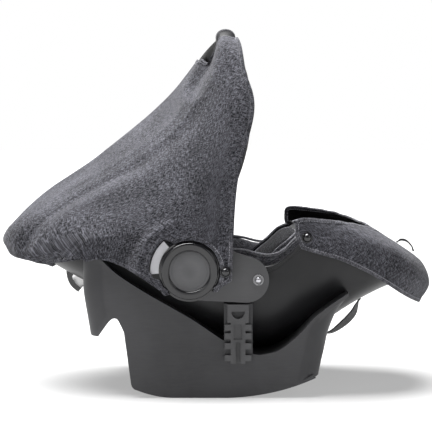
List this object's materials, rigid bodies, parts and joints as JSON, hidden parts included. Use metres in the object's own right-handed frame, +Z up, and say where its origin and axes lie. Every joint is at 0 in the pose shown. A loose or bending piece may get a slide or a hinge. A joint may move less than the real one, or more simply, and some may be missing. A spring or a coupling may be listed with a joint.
{
  "type": "infant car seat",
  "caption": "Rear-facing infant carrier seat: moulded bowl on a rocker base, swinging carry handle with hub buttons, canopy, leg cover and padded harness.",
  "frame": {"origin": "on the floor, at the middle of the overall length and width", "axes": "+X towards the feet end, +Z up, +Y to the occupant's left"},
  "size_m": [0.6831, 0.45, 0.5591],
  "materials": {
    "skirt_plastic": "fine satin grain",
    "shell_plastic": "satin",
    "gloss_black": "gloss",
    "hub_grey": "matte",
    "button_grey": "satin",
    "button_red": "gloss",
    "grip_foam": "textured",
    "steel": "zinc plated",
    "charcoal_fabric": "melange cross weave",
    "pad_fabric": "melange cross weave",
    "webbing": "woven polyester",
    "liner_foam": "moulded bead foam"
  },
  "bodies": {
    "shell": {"seat_shell": "shell_plastic", "rocker_base": "skirt_plastic", "adapter_guide_right": "shell_plastic", "adapter_guide_left": "shell_plastic", "rear_belt_guide": "shell_plastic", "ear_plate_right": "shell_plastic", "ear_plate_left": "shell_plastic", "detent_ring_right": "steel", "detent_ring_left": "steel", "pivot_bolt_right": "steel", "pivot_bolt_left": "steel", "ear_stud_right": "gloss_black", "ear_stud_left": "gloss_black", "foam_liner": "liner_foam", "seat_pad": "pad_fabric", "infant_insert": "pad_fabric", "head_support": "pad_fabric", "shoulder_strap_right": "webbing", "shoulder_strap_left": "webbing", "shoulder_pad_right": "pad_fabric", "shoulder_pad_left": "pad_fabric", "buckle_body": "gloss_black", "buckle_tongue_right": "steel", "buckle_tongue_left": "steel", "crotch_strap": "webbing", "adjuster_housing": "gloss_black", "adjuster_tail": "webbing", "splitter_plate": "steel", "under_strap": "webbing", "back_strap_right": "webbing", "back_strap_left": "webbing", "leg_cover": "charcoal_fabric", "hang_loop": "webbing", "leg_cover_snap_right": "gloss_black", "leg_cover_snap_left": "gloss_black", "canopy": "charcoal_fabric", "canopy_snap_right": "gloss_black", "canopy_snap_left": "gloss_black"},
    "handle": {"handle_bow": "shell_plastic", "grip_sleeve": "grip_foam", "hub_ring_right": "gloss_black", "hub_ring_left": "gloss_black", "hub_disc_right": "hub_grey", "hub_disc_left": "hub_grey", "release_spring_right": "steel", "release_spring_left": "steel"},
    "button_right": {"release_button_right": "button_grey"},
    "button_left": {"release_button_left": "button_grey"},
    "harness_button": {"buckle_button": "button_red"},
    "strap_button": {"adjuster_button": "shell_plastic"}
  },
  "joints": [
    {"name": "handle_swing", "type": "hinge", "parent": "shell", "child": "handle", "pos_m": [-0.039, 0, 0.194], "axis": [0, -1, 0], "range_deg": [0, 70], "deforming": ["canopy"]},
    {"name": "release_right", "type": "slide", "parent": "handle", "child": "button_right", "axis": [0.9272, 0, -0.3746], "range_m": [0, 0.005], "stiffness_N_per_m": 400, "springref_m": -0.003},
    {"name": "release_left", "type": "slide", "parent": "handle", "child": "button_left", "axis": [0.9272, 0, -0.3746], "range_m": [0, 0.005], "stiffness_N_per_m": 400, "springref_m": -0.003},
    {"name": "buckle_press", "type": "slide", "parent": "shell", "child": "harness_button", "axis": [-0.9063, 0, -0.4226], "range_m": [0, 0.004], "stiffness_N_per_m": 400, "springref_m": -0.003},
    {"name": "adjuster_press", "type": "slide", "parent": "shell", "child": "strap_button", "axis": [0.515, 0, -0.8572], "range_m": [0, 0.003], "stiffness_N_per_m": 400, "springref_m": -0.003}
  ]
}
